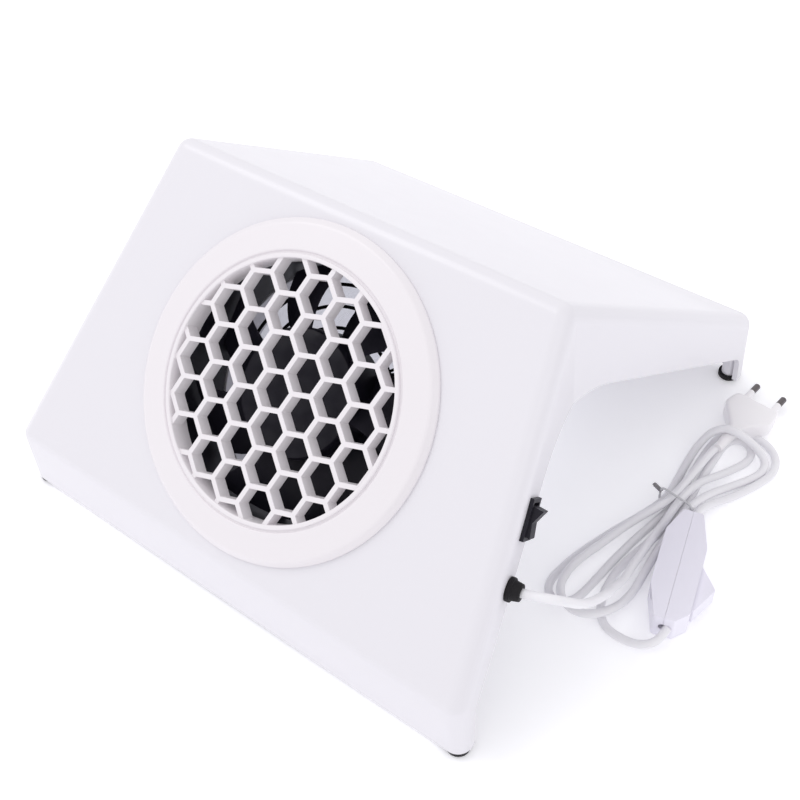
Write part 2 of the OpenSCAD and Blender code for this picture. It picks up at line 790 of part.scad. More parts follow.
module cover_screws() {
    color(steel) on_face() for (h = cover_holes)
        translate([h[0], h[1], -bay_depth - 2.5]) pan_screw(1.25, 3, 11);
}

// ------------------------------------------------------------------ inline switch
// It lies on its side on the table. Local +Y runs along it to its upper end, and
// local +X is the side that the rocker is on.

inline_at = [192.5, 156];
inline_turn = 15.5;
inline_l = 74;
inline_h = 17;
inline_half = 12;
inline_end = 5.5;
inline_wall = 2.4;
inline_rest = 0.3;
inline_mid = inline_rest + inline_h / 2;
inline_pivot = [8, -10];
inline_tilt = 5;
inline_rocker_l = 31;
inline_rocker_w = 11;
inline_peak = 13.5;
inline_pin_l = 1.6;
inline_screw_y = [-22, 22];

module on_inline() {
    translate([inline_at[0], front_y + inline_at[1], 0]) rotate([0, 0, inline_turn]) children();
}

module inline_shell(side, outline, hollow) {
    color([0.93, 0.92, 0.97]) on_inline()
    difference() {
        translate([0, 0, inline_rest]) linear_extrude(inline_h) polygon(rounded(outline));
        translate([0, 0, inline_rest + inline_wall])
            linear_extrude(inline_h - 2 * inline_wall) polygon(hollow);
        translate([0, inline_l, inline_mid]) rotate([90, 0, 0])
            cylinder(r = cord_r + seat_gap, h = 2 * inline_l, $fn = 32);
        if (side > 0)
            translate([0, inline_pivot[1] - inline_rocker_l / 2 - 0.6,
                       inline_mid - inline_rocker_w / 2 - slide_gap])
                cube([inline_half + 1, inline_rocker_l + 1.2, inline_rocker_w + 2 * slide_gap]);
        if (side > 0)
            translate([inline_pivot[0], inline_pivot[1],
                       inline_mid - inline_rocker_w / 2 - inline_pin_l - slide_gap])
                cylinder(r = pivot_pin_r + pivot_gap, h = inline_rocker_w + 2 * (inline_pin_l + slide_gap),
                         $fn = 32);
        for (y = inline_screw_y) translate([-inline_half - 1, y, inline_mid + 5]) rotate([0, 90, 0]) {
            cylinder(r = 1.3, h = inline_half + 7, $fn = 24);
            cylinder(r = 2.8, h = 7, $fn = 24);
        }
    }
}

module inline_shell_back() {
    inline_shell(-1, [
        [-seat_gap / 2, -inline_l / 2, 0], [-seat_gap / 2, inline_l / 2, 0],
        [-inline_end, inline_l / 2, 1.5],
        [-inline_half, 21, 4], [-inline_half, -16, 4], [-inline_end, -inline_l / 2, 1.5]
    ], [
        [1, -26], [1, 24], [-8.4, 24], [-inline_half + inline_wall, 20], [-inline_half + inline_wall, -16],
        [-7, -26]
    ]);
}

module inline_shell_front() {
    inline_shell(1, [
        [seat_gap / 2, -inline_l / 2, 0], [inline_end, -inline_l / 2, 1.5], [inline_half, -30, 3],
        [inline_half, 14, 4], [inline_end, inline_l / 2, 1.5], [seat_gap / 2, inline_l / 2, 0]
    ], [
        [-1, -26], [inline_half - inline_wall, -26], [inline_half - inline_wall, 13], [7, 24], [-1, 24]
    ]);
}

// Roof-shaped rocker, drawn level about its pivot
inline_rocker_side = rounded([
    [-4, -4, 1], [0, -inline_rocker_l / 2, 0], [4, -inline_rocker_l / 2, 0], [inline_peak, 0, 1.5],
    [4, inline_rocker_l / 2, 0], [0, inline_rocker_l / 2, 0], [-4, 4, 1]
]);

module inline_rocker() {
    color([0.93, 0.92, 0.97]) on_inline()
        translate([inline_pivot[0], inline_pivot[1], inline_mid - inline_rocker_w / 2]) {
            rotate([0, 0, inline_tilt]) linear_extrude(inline_rocker_w) polygon(inline_rocker_side);
            translate([0, 0, -inline_pin_l])
                cylinder(r = pivot_pin_r, h = inline_rocker_w + 2 * inline_pin_l, $fn = 32);
        }
}

module inline_screws() {
    color(steel) on_inline() for (y = inline_screw_y)
        translate([-inline_half + 5.95, y, inline_mid + 5]) rotate([0, 90, 0]) pan_screw(1.15, 2.5, 9);
}

module inline_contacts() {
    color("goldenrod") on_inline() {
        for (y = [-22, 2]) translate([-6, y - 2.5, inline_mid - 3]) cube([6, 5, 6]);
        translate([-8.5, -14, inline_mid - 2.5]) cube([1, 10, 5]);
        translate([-8.5, -10.6, inline_mid - 2.5]) cube([7, 1.2, 5]);
    }
}

// --------------------------------------------------------------------------- plug
// Local +Y runs from the cord's end to the pins

plug_at = [171.5, 264];
plug_turn = -4.5;
plug_tip_down = 4;
plug_t = 12;
plug_l = 30;
plug_half = 14;
plug_z = 9.5;
pin_gap = 18;
pin_r = 2;
sleeve_l = 10;
pin_l = 18;

module on_plug() {
    translate([plug_at[0], front_y + plug_at[1], plug_z]) rotate([0, 0, plug_turn])
        rotate([-plug_tip_down, 0, 0]) children();
}

module plug_body() {
    color(white) on_plug() difference() {
        union() {
            translate([0, 0, -plug_t / 2]) linear_extrude(plug_t) polygon(rounded([
                [-5, 4, 0], [5, 4, 0], [7, 10, 6], [plug_half + 1, 17, 5], [plug_half + 1, 24, 4],
                [plug_half - 1.5, plug_l, 2], [-plug_half + 1.5, plug_l, 2], [-plug_half - 1, 24, 4],
                [-plug_half - 1, 17, 5], [-7, 10, 6]
            ]));
            rotate([-90, 0, 0]) cylinder(r1 = 4.4, r2 = 5.4, h = 6, $fn = 32);
        }
        translate([0, -1, 0]) rotate([-90, 0, 0]) cylinder(r = cord_r + seat_gap, h = 6, $fn = 32);
        for (x = [-pin_gap / 2, pin_gap / 2])
            translate([x, plug_l - 12, 0]) rotate([-90, 0, 0]) cylinder(r = pin_r + 0.02, h = 20, $fn = 32);
    }
}

module plug_pins() {
    color(steel) on_plug() for (x = [-pin_gap / 2, pin_gap / 2])
        translate([x, plug_l - 10, 0]) rotate([-90, 0, 0]) {
            cylinder(r = pin_r - 0.3, h = 10 + pin_l - 1, $fn = 32);
            translate([0, 0, 10 + sleeve_l]) cylinder(r = pin_r, h = pin_l - sleeve_l - 1, $fn = 32);
            translate([0, 0, 9 + pin_l]) cylinder(r1 = pin_r, r2 = 1.2, h = 1, $fn = 32);
        }
}

module plug_sleeves() {
    color(white) on_plug() for (x = [-pin_gap / 2, pin_gap / 2])
        translate([x, plug_l - 9, 0]) rotate([-90, 0, 0]) ring(pin_r, pin_r - 0.3 + 0.01, 9 + sleeve_l);
}

// ----------------------------------------------------------------------- the cord
// Routes and outlines start at the front lip: x, y from the lip, and height

function laid(route) = [for (p = route) [p[0], p[1] + front_y, p[2]]];

bushing_end = side_point(bushing_t, bushing_d) + (bushing_out + 0.05) * side_front_n - [0, front_y, 0];
lead_route = concat([bushing_end], [
    [167, 59, 81], [173, 65, 75], [176, 73, 66], [177, 85, 54], [177, 100, 42], [175, 114, 30],
    [174, 127, 20], [172, 140, 13], [171, 152, 10]
]);
switch_tail_route = [
    [167, 128, 3], [170.5, 117, 3], [177.5, 109, 3], [186.5, 106, 3], [194.5, 107, 4], [201.5, 111, 6],
    [204.5, 116, 8], [204.5, 122, 8.8]
];
plug_tail_route = [[169, 240, 8], [170, 252, 9], [171.5, 262, 9.5], [171.5, 265, 9.6]];

tie_at = [168.5, 199];
tie_turn = -7.5;
hank_h = 13;
hank_outline = [
    [134, 103, 9], [149, 97, 9], [171, 97, 12], [182, 114, 18], [183, 136, 30], [176, 160, 30],
    [179, 199, 40],
    [206, 238, 20], [206, 272, 14], [179, 279, 8], [159, 264, 8], [158, 199, 40], [144, 152, 60]
];
tie_w = 22;
tie_h = 14.6;
tie_r = 0.7;

module cord_lead() { color(white) sweep_tube(smooth(laid(lead_route), 2), cord_r, 10); }
module cord_switch_tail() { color(white) sweep_tube(smooth(laid(switch_tail_route), 2), cord_r, 10); }
module cord_plug_tail() { color(white) sweep_tube(smooth(laid(plug_tail_route), 2), cord_r, 10); }

module cord_hank() {
    color(white) translate([0, front_y, 0.3]) linear_extrude(hank_h) polygon(rounded(hank_outline));
}

// Wire tie: a flat loop round the hank's waist with its two ends twisted together
module cord_tie() {
    color([0.8, 0.8, 0.82]) translate([tie_at[0], front_y + tie_at[1], 0]) rotate([0, 0, tie_turn]) {
        rotate([90, 0, 0]) translate([0, 0, -tie_r]) linear_extrude(2 * tie_r) difference() {
            polygon(rounded([
                [-tie_w / 2, 0.2, 3], [tie_w / 2, 0.2, 3], [tie_w / 2, tie_h, 5], [-tie_w / 2, tie_h, 5]
            ]));
            polygon(rounded([
                [-tie_w / 2 + 1.4, 1.6, 2], [tie_w / 2 - 1.4, 1.6, 2],
                [tie_w / 2 - 1.4, tie_h - 1.4, 4], [-tie_w / 2 + 1.4, tie_h - 1.4, 4]
            ]));
        }
        translate([-tie_w / 2 + 0.4, 0, tie_h - 5]) rotate([0, -70, 0]) cylinder(r = 1.1, h = 7, $fn = 24);
    }
}

housing_shell();
rubber_feet();
grille();
wiring_cover();
cover_screws();
fan_frame();
fan_impeller();
rotor_ring();
fan_shaft();
shaft_clip();
bearing_front();
bearing_rear();
stator_core();
stator_coils();
fan_leads();
finger_guard();
bag_collar();
fan_screws();
dust_bag();
bag_elastic();
switch_body();
switch_rocker();
switch_terminals();
cord_bushing();
cord_inner_end();
cord_clamp();
clamp_screws();
terminal_block();
terminal_screws();
link_wires();
cord_lead();
cord_hank();
cord_switch_tail();
cord_plug_tail();
cord_tie();
inline_shell_back();
inline_shell_front();
inline_rocker();
inline_screws();
inline_contacts();
plug_body();
plug_pins();
plug_sleeves();
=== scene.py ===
import json
import math

import bmesh
import bpy
from mathutils import Matrix, Vector, noise

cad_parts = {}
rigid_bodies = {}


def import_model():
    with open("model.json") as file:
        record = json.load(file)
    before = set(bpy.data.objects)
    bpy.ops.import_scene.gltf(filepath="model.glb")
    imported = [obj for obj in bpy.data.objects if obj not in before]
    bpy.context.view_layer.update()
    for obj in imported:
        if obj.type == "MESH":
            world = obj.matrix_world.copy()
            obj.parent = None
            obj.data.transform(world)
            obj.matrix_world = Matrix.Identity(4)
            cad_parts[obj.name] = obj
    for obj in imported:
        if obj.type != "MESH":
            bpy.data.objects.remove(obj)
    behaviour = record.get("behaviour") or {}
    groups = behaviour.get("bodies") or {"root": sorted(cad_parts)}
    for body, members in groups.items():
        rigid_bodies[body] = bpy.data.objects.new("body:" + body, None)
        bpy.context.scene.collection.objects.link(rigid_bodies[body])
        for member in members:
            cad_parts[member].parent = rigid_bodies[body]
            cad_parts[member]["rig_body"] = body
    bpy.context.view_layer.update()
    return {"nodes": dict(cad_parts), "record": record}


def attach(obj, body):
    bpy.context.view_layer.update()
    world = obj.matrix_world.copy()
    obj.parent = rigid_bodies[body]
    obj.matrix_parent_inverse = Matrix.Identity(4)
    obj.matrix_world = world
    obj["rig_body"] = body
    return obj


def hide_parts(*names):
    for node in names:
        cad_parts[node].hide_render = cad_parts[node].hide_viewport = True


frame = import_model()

MM = 0.001
# Sizes of the CAD solids that the visual pieces follow, in millimetres.
DEPTH = 323.5
FRONT_Y = -DEPTH / 2
LIP_H = 42.4
FACE_ANGLE = math.radians(45.6)
# the fan's axis, measured up the sloping face from its foot
FAN_T = 97
CORD_D = 4.8
# edges that turn by more than this many degrees count as sharp
SHARP = 35

NODES = frame["nodes"]


# ------------------------------------------------------------------ local frames

def face_point(t, d, x=0.0):
    """A point t up the sloping face from its foot and d below it, in millimetres."""
    c, s = math.cos(FACE_ANGLE), math.sin(FACE_ANGLE)
    return Vector((x, FRONT_Y + t * c + d * s, LIP_H + t * s - d * c))


def fan_matrix():
    """Local +Z leaves the face along the fan's axis and +Y runs up the face."""
    return Matrix.Translation(face_point(FAN_T, 0)) @ Matrix.Rotation(FACE_ANGLE, 4, "X")


def laid(route):
    """Points measured from the front lip in millimetres, as points of the row frame."""
    return [Vector((x, y + FRONT_Y, z)) * MM for x, y, z in route]


# --------------------------------------------------------------------- materials

# stands in for the light that soaks through one thin layer of cloth
CLOTH_GLOW = 0.3
# painted light: the grille glows a little, standing in for the light its bright surroundings bounce
# into its cells; the floor glows evenly so the table stays bright
GRILLE_PAINTED_LIGHT = 0.12
FLOOR_GLOW = 0.24


def shader_material(name, colour, roughness, metallic=0.0, coat=0.0, sheen=0.0, emission=0.0,
                    specular=0.5):
    """A principled material with its node tree, ready for a procedural pattern."""
    mat = bpy.data.materials.new(name)
    mat.use_nodes = True
    shader = mat.node_tree.nodes["Principled BSDF"]
    shader.inputs["Base Color"].default_value = (*colour, 1)
    shader.inputs["Roughness"].default_value = roughness
    shader.inputs["Metallic"].default_value = metallic
    shader.inputs["Coat Weight"].default_value = coat
    shader.inputs["Coat Roughness"].default_value = 0.12
    shader.inputs["Sheen Weight"].default_value = sheen
    shader.inputs["Specular IOR Level"].default_value = specular
    shader.inputs["Emission Color"].default_value = (*colour, 1)
    shader.inputs["Emission Strength"].default_value = emission
    return mat, shader


def grain(mat, shader, scale, strength, distance):
    """A fine surface grain from noise, as a bump."""
    tree = mat.node_tree
    coords = tree.nodes.new("ShaderNodeTexCoord")
    pattern = tree.nodes.new("ShaderNodeTexNoise")
    pattern.inputs["Scale"].default_value = scale
    pattern.inputs["Detail"].default_value = 2.0
    bump = tree.nodes.new("ShaderNodeBump")
    bump.inputs["Strength"].default_value = strength
    bump.inputs["Distance"].default_value = distance
    tree.links.new(coords.outputs["Object"], pattern.inputs["Vector"])
    tree.links.new(pattern.outputs["Fac"], bump.inputs["Height"])
    tree.links.new(bump.outputs["Normal"], shader.inputs["Normal"])


def roughness_clouds(mat, shader, low, high, scale):
    """Slow changes of roughness, so a moulded surface isn't perfectly even."""
    tree = mat.node_tree
    clouds = tree.nodes.new("ShaderNodeTexNoise")
    clouds.inputs["Scale"].default_value = scale
    spread = tree.nodes.new("ShaderNodeMapRange")
    spread.inputs["To Min"].default_value = low
    spread.inputs["To Max"].default_value = high
    tree.links.new(clouds.outputs["Fac"], spread.inputs["Value"])
    tree.links.new(spread.outputs["Result"], shader.inputs["Roughness"])


def plastic(name, colour, roughness, coat, specular=0.5, glow=0.0):
    """A moulded plastic with a faint grain and slightly uneven gloss; any glow given to it is
    painted light.
    """
    mat, shader = shader_material(name, colour, roughness, coat=coat, emission=glow,
                                  specular=specular)
    grain(mat, shader, 900, 0.05, 0.0002)
    roughness_clouds(mat, shader, roughness - 0.04, roughness + 0.06, 18)
    return mat


def metal(name, colour, roughness):
    """A bare metal with a faint grain."""
    mat, shader = shader_material(name, colour, roughness, metallic=1.0)
    grain(mat, shader, 700, 0.08, 0.0001)
    return mat


def woven_cloth(name, colour):
    """Plain weave from two crossed wave patterns."""
    mat, shader = shader_material(name, colour, 0.85, sheen=0.25, emission=CLOTH_GLOW)
    tree = mat.node_tree
    coords = tree.nodes.new("ShaderNodeTexCoord")
    add = tree.nodes.new("ShaderNodeMath")
    add.operation = "ADD"
    for k, direction in enumerate(("X", "Z")):
        wave = tree.nodes.new("ShaderNodeTexWave")
        wave.bands_direction = direction
        wave.inputs["Scale"].default_value = 260
        wave.inputs["Distortion"].default_value = 0.6
        tree.links.new(coords.outputs["Object"], wave.inputs["Vector"])
        tree.links.new(wave.outputs["Fac"], add.inputs[k])
    bump = tree.nodes.new("ShaderNodeBump")
    bump.inputs["Strength"].default_value = 0.35
    bump.inputs["Distance"].default_value = 0.0004
    tree.links.new(add.outputs["Value"], bump.inputs["Height"])
    tree.links.new(bump.outputs["Normal"], shader.inputs["Normal"])
    return mat


MATERIALS = {
    "housing_white": plastic("housing white", (0.79, 0.775, 0.815), 0.36, coat=0.2),
    # the grille's emission is painted light, standing in for light bounced into its cells
    "grille_white": plastic("grille white", (0.74, 0.71, 0.735), 0.38, coat=0.15,
                            glow=GRILLE_PAINTED_LIGHT),
    "black_plastic": plastic("black plastic", (0.013, 0.012, 0.019), 0.42, coat=0.0,
                             specular=0.25),
    "black_rubber": plastic("black rubber", (0.013, 0.012, 0.014), 0.6, coat=0.0,
                            specular=0.2),
    "bright_steel": metal("bright steel", (0.62, 0.62, 0.63), 0.3),
    "pin_steel": metal("pin steel", (0.16, 0.145, 0.15), 0.38),
    "core_steel": metal("core steel", (0.25, 0.26, 0.28), 0.5),
    "brass": metal("brass", (0.70, 0.52, 0.22), 0.3),
    "winding_copper": metal("winding copper", (0.60, 0.25, 0.10), 0.35),
    "guard_black": plastic("guard black", (0.006, 0.006, 0.008), 0.45, coat=0.0, specular=0.25),
    "bag_cloth": woven_cloth("bag cloth", (0.74, 0.74, 0.78)),
    "cord_white": plastic("cord white", (0.85, 0.84, 0.87), 0.4, coat=0.1),
    "switch_lilac": plastic("switch lilac", (0.86, 0.84, 0.93), 0.36, coat=0.2),
    "plug_white": plastic("plug white", (0.91, 0.89, 0.91), 0.32, coat=0.2),
    "wire_skin": plastic("wire skin", (0.26, 0.25, 0.26), 0.45, coat=0.0),
    "tie_grey": plastic("tie grey", (0.60, 0.60, 0.62), 0.4, coat=0.0),
}
NODE_SLOT = {s["node"]: s["material_slot"] for s in frame["record"]["subparts"]}


def paint(obj, slot_name):
    """Gives obj the material of a slot."""
    obj.data.materials.clear()
    obj.data.materials.append(MATERIALS[slot_name])


# ------------------------------------------------------------------ mesh building

def add_object(name, data, body):
    """A new object in the scene that moves with a body of the frame."""
    obj = bpy.data.objects.new(name, data)
    bpy.context.scene.collection.objects.link(obj)
    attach(obj, body)
    return obj


def mesh_object(name, verts, faces, body, matrix=None, smooth_angle=40):
    """A mesh in millimetres, moved by matrix and then scaled to metres."""
    points = [(matrix @ Vector(v) if matrix else Vector(v)) * MM for v in verts]
    mesh = bpy.data.meshes.new(name)
    mesh.from_pydata(points, [], faces)
    mesh.update()
    shade(mesh, smooth_angle)
    return add_object(name, mesh, body)


def shade(mesh, angle):
    """Smooth shading, broken at edges that turn by more than angle in degrees."""
    mesh.polygons.foreach_set("use_smooth", [True] * len(mesh.polygons))
    mesh.set_sharp_from_angle(angle=math.radians(angle))


def softened(node, width):
    """A copy of a CAD node with its sharp edges rounded by width, which stands for the node."""
    source = NODES[node]
    mesh = source.data.copy()
    mesh.name = node + " softened"
    work = bmesh.new()
    work.from_mesh(mesh)
    bmesh.ops.remove_doubles(work, verts=work.verts, dist=1e-6)
    bmesh.ops.dissolve_limit(work, angle_limit=math.radians(0.6), verts=work.verts,
                             edges=work.edges)
    work.to_mesh(mesh)
    work.free()
    shade(mesh, SHARP)
    obj = add_object(node + "_soft", mesh, source["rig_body"])
    bevel = obj.modifiers.new("edges", "BEVEL")
    bevel.width = width * MM
    bevel.segments = 3
    bevel.limit_method = "ANGLE"
    bevel.angle_limit = math.radians(SHARP)
    bevel.harden_normals = True
    paint(obj, NODE_SLOT[node])
    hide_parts(node)
    return obj


def loft(rings, cap_start=False, cap_end=False):
    """Vertices and faces through closed rings of equal length."""
    n = len(rings[0])
    verts = [v for ring in rings for v in ring]
    faces = []
    for i in range(len(rings) - 1):
        for k in range(n):
            a, b = i * n + k, i * n + (k + 1) % n
            faces.append((a, b, b + n, a + n))
    if cap_start:
        faces.append(tuple(reversed(range(n))))
    if cap_end:
        faces.append(tuple(range(len(verts) - n, len(verts))))
    return verts, faces


# --------------------------------------------------------------------- soft lines

SPLINE_STEPS = 6
SPLINE_ROUNDS = 4
TUBE_SIDES = 20


def spline(route):
    """A smooth line through the route: a spline, then a little evening out."""
    pts = []
    n = len(route)
    for i in range(n - 1):
        a, b, c, d = route[max(i - 1, 0)], route[i], route[i + 1], route[min(i + 2, n - 1)]
        for k in range(SPLINE_STEPS):
            s = k / SPLINE_STEPS
            pts.append(0.5 * (2 * b + (c - a) * s + (2 * a - 5 * b + 4 * c - d) * s * s
                              + (3 * b - a - 3 * c + d) * s ** 3))
    pts.append(route[-1].copy())
    for _ in range(SPLINE_ROUNDS):
        inner = [(pts[i - 1] + 2 * pts[i] + pts[i + 1]) / 4 for i in range(2, len(pts) - 2)]
        pts = pts[:2] + inner + pts[-2:]
    return pts


def tube(name, pts, radii, slot_name):
    """A round tube along a line in metres, closed at its ends; radii is one or one per point."""
    if not isinstance(radii, list):
        radii = [radii] * len(pts)
    across = (pts[1] - pts[0]).orthogonal()
    rings = []
    for i, p in enumerate(pts):
        ahead = (pts[min(i + 1, len(pts) - 1)] - pts[max(i - 1, 0)]).normalized()
        across = (across - ahead * across.dot(ahead)).normalized()
        over = ahead.cross(across)
        turns = [2 * math.pi * k / TUBE_SIDES for k in range(TUBE_SIDES)]
        rings.append([(p + (across * math.cos(g) + over * math.sin(g)) * radii[i]) / MM
                      for g in turns])
    verts, faces = loft(rings, cap_start=True, cap_end=True)
    obj = mesh_object(name, verts, faces, "housing", smooth_angle=60)
    paint(obj, slot_name)
    return obj


# ------------------------------------------------------------------------- camera

CAMERA_SENSOR = 36
CAMERA_LENS = 51.69
CAMERA_PLACE = (0.3084, -0.37066, 0.5326)
CAMERA_TURN = (0.7574, 0.04374, 0.64875)


def add_camera():
    data = bpy.data.cameras.new("camera")
    data.sensor_width = CAMERA_SENSOR
    data.lens = CAMERA_LENS
    obj = bpy.data.objects.new("camera", data)
    obj.location = CAMERA_PLACE
    obj.rotation_euler = CAMERA_TURN
    bpy.context.scene.collection.objects.link(obj)
    bpy.context.scene.camera = obj


# -------------------------------------------------------------------------- cords
# Both routes are measured from the front lip, like the routes of the CAD solids.

BUSHING_END = (153.7, 57.2, 74.8)
LEAD = [
    (160, 58, 77), (167, 59.5, 79), (173, 65, 75), (176, 73, 66), (177, 85, 54), (177, 100, 42),
    (175, 114, 30), (174, 127, 20), (172, 140, 14), (171, 152, 10.5),
]
LEAD_TO_SWITCH = [
    (170.5, 167, 9.3), (170.5, 182, 8.6), (170, 199, 8.4), (171, 212, 8), (174, 223, 7),
    (179, 234, 4.6), (183.5, 245, 2.6), (187, 254, 2.5), (186.5, 262, 2.5), (181, 267, 2.5),
    (174, 266, 2.5), (170.5, 259, 2.5), (170.5, 247, 2.5), (171, 232, 2.5), (172, 217, 2.5),
    (173.5, 199, 2.5), (171, 182, 2.5), (167, 162, 2.5), (164, 147, 2.5), (164, 135, 2.5),
    (165.5, 124, 2.5), (169.5, 114, 2.5), (176, 107.5, 2.5), (184.5, 105.5, 3),
]
SWITCH_END = [(194.5, 106, 4.2), (201, 109, 6.2), (204.2, 114, 8), (204.6, 121, 8.8)]
SWITCH_TOP = [(184.2, 191, 8.8), (182.2, 199, 7.5)]
SWITCH_TO_PLUG = [
    (183.5, 209, 5), (188, 218, 3.5), (194, 229, 2.6), (200, 243, 2.5), (203, 254, 2.5),
    (201, 264, 2.5), (195, 271, 2.5), (186, 274.5, 2.5), (175.5, 273.5, 2.5), (166.5, 267, 2.5),
    (164, 255, 2.5), (164.5, 237, 2.5), (165.5, 217, 2.5), (167, 199, 2.5), (164, 182, 2.5),
    (161, 165, 2.5), (158.5, 146, 2.5), (157, 128, 2.5), (155, 114, 2.5), (149, 106.5, 2.5),
    (141.5, 107.5, 2.5), (137.5, 114.5, 2.5), (138, 126, 2.5), (141, 141, 2.5), (147.5, 161.5, 2.5),
    (154.5, 180.5, 2.5), (160.5, 199, 2.5), (160.5, 215, 2.5), (158.5, 233, 2.5), (158.5, 246, 5.5),
    (161.5, 254.5, 11), (167, 259.5, 14.8), (174.5, 261, 15), (182.5, 262.5, 11.5), (190, 262, 7.4),
    (196.5, 258, 4.6),
    (197.5, 250, 3), (192.5, 239, 3), (185.5, 226, 4.4), (180, 213, 7), (176.8, 199, 8.4),
    (175.8, 180, 7.6), (176.3, 162, 7), (177.5, 145, 6), (178.5, 131, 6.5), (176.5, 118, 8),
    (170.5, 108.5, 8.4), (162, 103.5, 7.6), (153, 104.5, 7.6), (146.5, 110, 7.6), (143.5, 119, 7.6),
    (144, 131.5, 7.6), (148.5, 148.5, 7.6), (155, 171.5, 8), (161.5, 188, 8.4), (165, 199, 8.5),
    (166.5, 212, 8.6), (167, 227, 8.8),
]
PLUG_END = [(168, 243, 9), (170, 254, 9.3), (171.5, 262, 9.5), (171.8, 266, 9.5)]


def add_cords(with_plug):
    """The lead runs from the bushing through the hank to the inline switch, and the
    supply cord from the switch through the hank to the plug."""
    first = spline(laid([BUSHING_END] + LEAD + LEAD_TO_SWITCH + SWITCH_END))
    lead = tube("cord_to_switch", first, CORD_D / 2 * MM, "cord_white")
    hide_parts("cord_lead", "cord_hank", "cord_switch_tail")
    second = spline(laid(SWITCH_TOP + SWITCH_TO_PLUG + PLUG_END))
    supply = tube("cord_to_plug", second, CORD_D / 2 * MM, "cord_white")
    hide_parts("cord_plug_tail")


# The tie's loop stands across the hank's waist: its middle, its turn from the X axis, its half
# width, its lower and upper sides, and the radius of its corners.
TIE_PLACE = (Matrix.Translation((168.5, 199 + FRONT_Y, 0))
             @ Matrix.Rotation(math.radians(-7.5), 4, "Z"))
TIE_HALF = 10.6
TIE_LOW = 0.8
TIE_TOP = 13.2
TIE_CORNER = 3.2
TIE_R = 0.7
# the loop's last point lies this far beside its first one
TIE_OVERLAP = 1.6
# The two twisted ends: their radius, how far each winds off the middle line, and their turns.
TWIST_R = 0.6
TWIST_OFF = 0.8
TWIST_TURNS = 2.5
TWIST_LENGTH = 5.5
TWIST_RISE = 2
# how far below the loop's upper side the ends leave it
TWIST_DROP = 3.5


def tie_loop():
    """The loop's middle line: a rectangle with round corners."""
    right, left = TIE_HALF - TIE_CORNER, -TIE_HALF + TIE_CORNER
    high, low = TIE_TOP - TIE_CORNER, TIE_LOW + TIE_CORNER
    pts = []
    for cx, cz, start in ((right, high, 0), (left, high, 90), (left, low, 180), (right, low, 270)):
        for k in range(6):
            g = math.radians(start + 18 * k)
            pts.append(Vector((cx + TIE_CORNER * math.cos(g), 0, cz + TIE_CORNER * math.sin(g))))
    pts.append(pts[0] + Vector((0, TIE_OVERLAP, 0)))
    return pts


def tie_twist(phase, steps=24):
    """The middle line of one end, which winds round the other as it leaves the loop."""
    pts = []
    for k in range(steps + 1):
        s = k / steps
        g = phase + s * TWIST_TURNS * 2 * math.pi
        height = TIE_TOP - TWIST_DROP + TWIST_RISE * s
        pts.append(Vector((-TIE_HALF + TWIST_R - TWIST_LENGTH * s, TWIST_OFF * math.cos(g),
                           height + TWIST_OFF * math.sin(g))))
    return pts


def add_tie():
    """A plastic-covered wire round the hank's waist, its ends twisted together."""
    tie = tube("tie_loop", [(TIE_PLACE @ p) * MM for p in tie_loop()], TIE_R * MM, "tie_grey")
    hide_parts("cord_tie")
    ends = []
    for number, phase in enumerate((0, math.pi)):
        line = [(TIE_PLACE @ p) * MM for p in tie_twist(phase)]
        ends.append(tube("tie_end_%d" % number, line, TWIST_R * MM, "wire_skin"))
    return [tie] + ends


# --------------------------------------------------------------------------- plug

PLUG_SECTIONS = [
    # distance from the neck's end, half width, half thickness, squareness
    (0, 4.2, 4.2, 0), (2.5, 4.7, 4.5, 0.4), (5, 6.0, 4.9, 1.2), (8, 8.4, 5.4, 2.4),
    (12, 11.6, 5.8, 3.4), (16, 14.6, 6.0, 4.2), (17.5, 15.2, 6.0, 4.4), (19, 15.4, 6.0, 4.4),
    (24, 14.9, 5.5, 4.4), (27.5, 14.2, 5.1, 4.4), (29.2, 13.4, 4.9, 4), (29.8, 12.8, 4.5, 3.4),
    (30, 12.2, 4.1, 3),
]
# distance from the same place and radius of the soft neck round the cord
PLUG_NECK = [(-17, 2.55), (-16.4, 2.75), (-10, 3.0), (-4, 3.4), (0, 3.8), (4, 4.0)]
PLUG_STEPS = 48


def plug_matrix():
    """Local +Y points from the plug's neck to its pins, which dip towards the table."""
    origin = Vector((171.5, 264 + FRONT_Y, 9.5))
    return (Matrix.Translation(origin) @ Matrix.Rotation(math.radians(-4.5), 4, "Z")
            @ Matrix.Rotation(math.radians(-4), 4, "X"))


def add_plug():
    """Moulded plug body: round at the neck, flat and wide at the pins."""
    rings = []
    for y, half_w, half_t, square in PLUG_SECTIONS:
        power = 1 / (1 + square)
        ring = []
        for k in range(PLUG_STEPS):
            g = 2 * math.pi * k / PLUG_STEPS
            c, s = math.cos(g), math.sin(g)
            ring.append((half_w * math.copysign(abs(c) ** power, c), y,
                         half_t * math.copysign(abs(s) ** power, s)))
        rings.append(ring)
    verts, faces = loft(rings, cap_start=True, cap_end=True)
    body = mesh_object("plug_moulding", verts, faces, "housing", plug_matrix(), 28)
    paint(body, "plug_white")
    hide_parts("plug_body")
    relief = tube("plug_neck", [(plug_matrix() @ Vector((0, y, 0))) * MM for y, _ in PLUG_NECK],
                  [r * MM for _, r in PLUG_NECK], "plug_white")
    return [body, relief]


# ---------------------------------------------------------------------------- fan

HUB_R = 35
HUB_WALL = 2
HUB_BORE_R = 2.6
BLADE_TIP_R = 69.3
HUB_TOP = -11
HUB_FOOT = -41
BLADES = 7
BLADE_PHASE = 20
# how far the blades sink into the hub, and how far below the hub's top their front edge starts
BLADE_ROOT = 0.8
BLADE_DROP = 2.2
BLADE_HALF_T = 0.9
BLADE_CAMBER = 3.2
BLADE_SWEEP = math.radians(14)
# degrees round the axis and height along it at the hub, and how much less they are at the tip
BLADE_TURN, BLADE_TURN_LESS = 44, 7
BLADE_RISE, BLADE_RISE_LESS = 24.5, 3.5
# keeps some thickness at the front and rear edges
BLADE_EDGE = 0.08


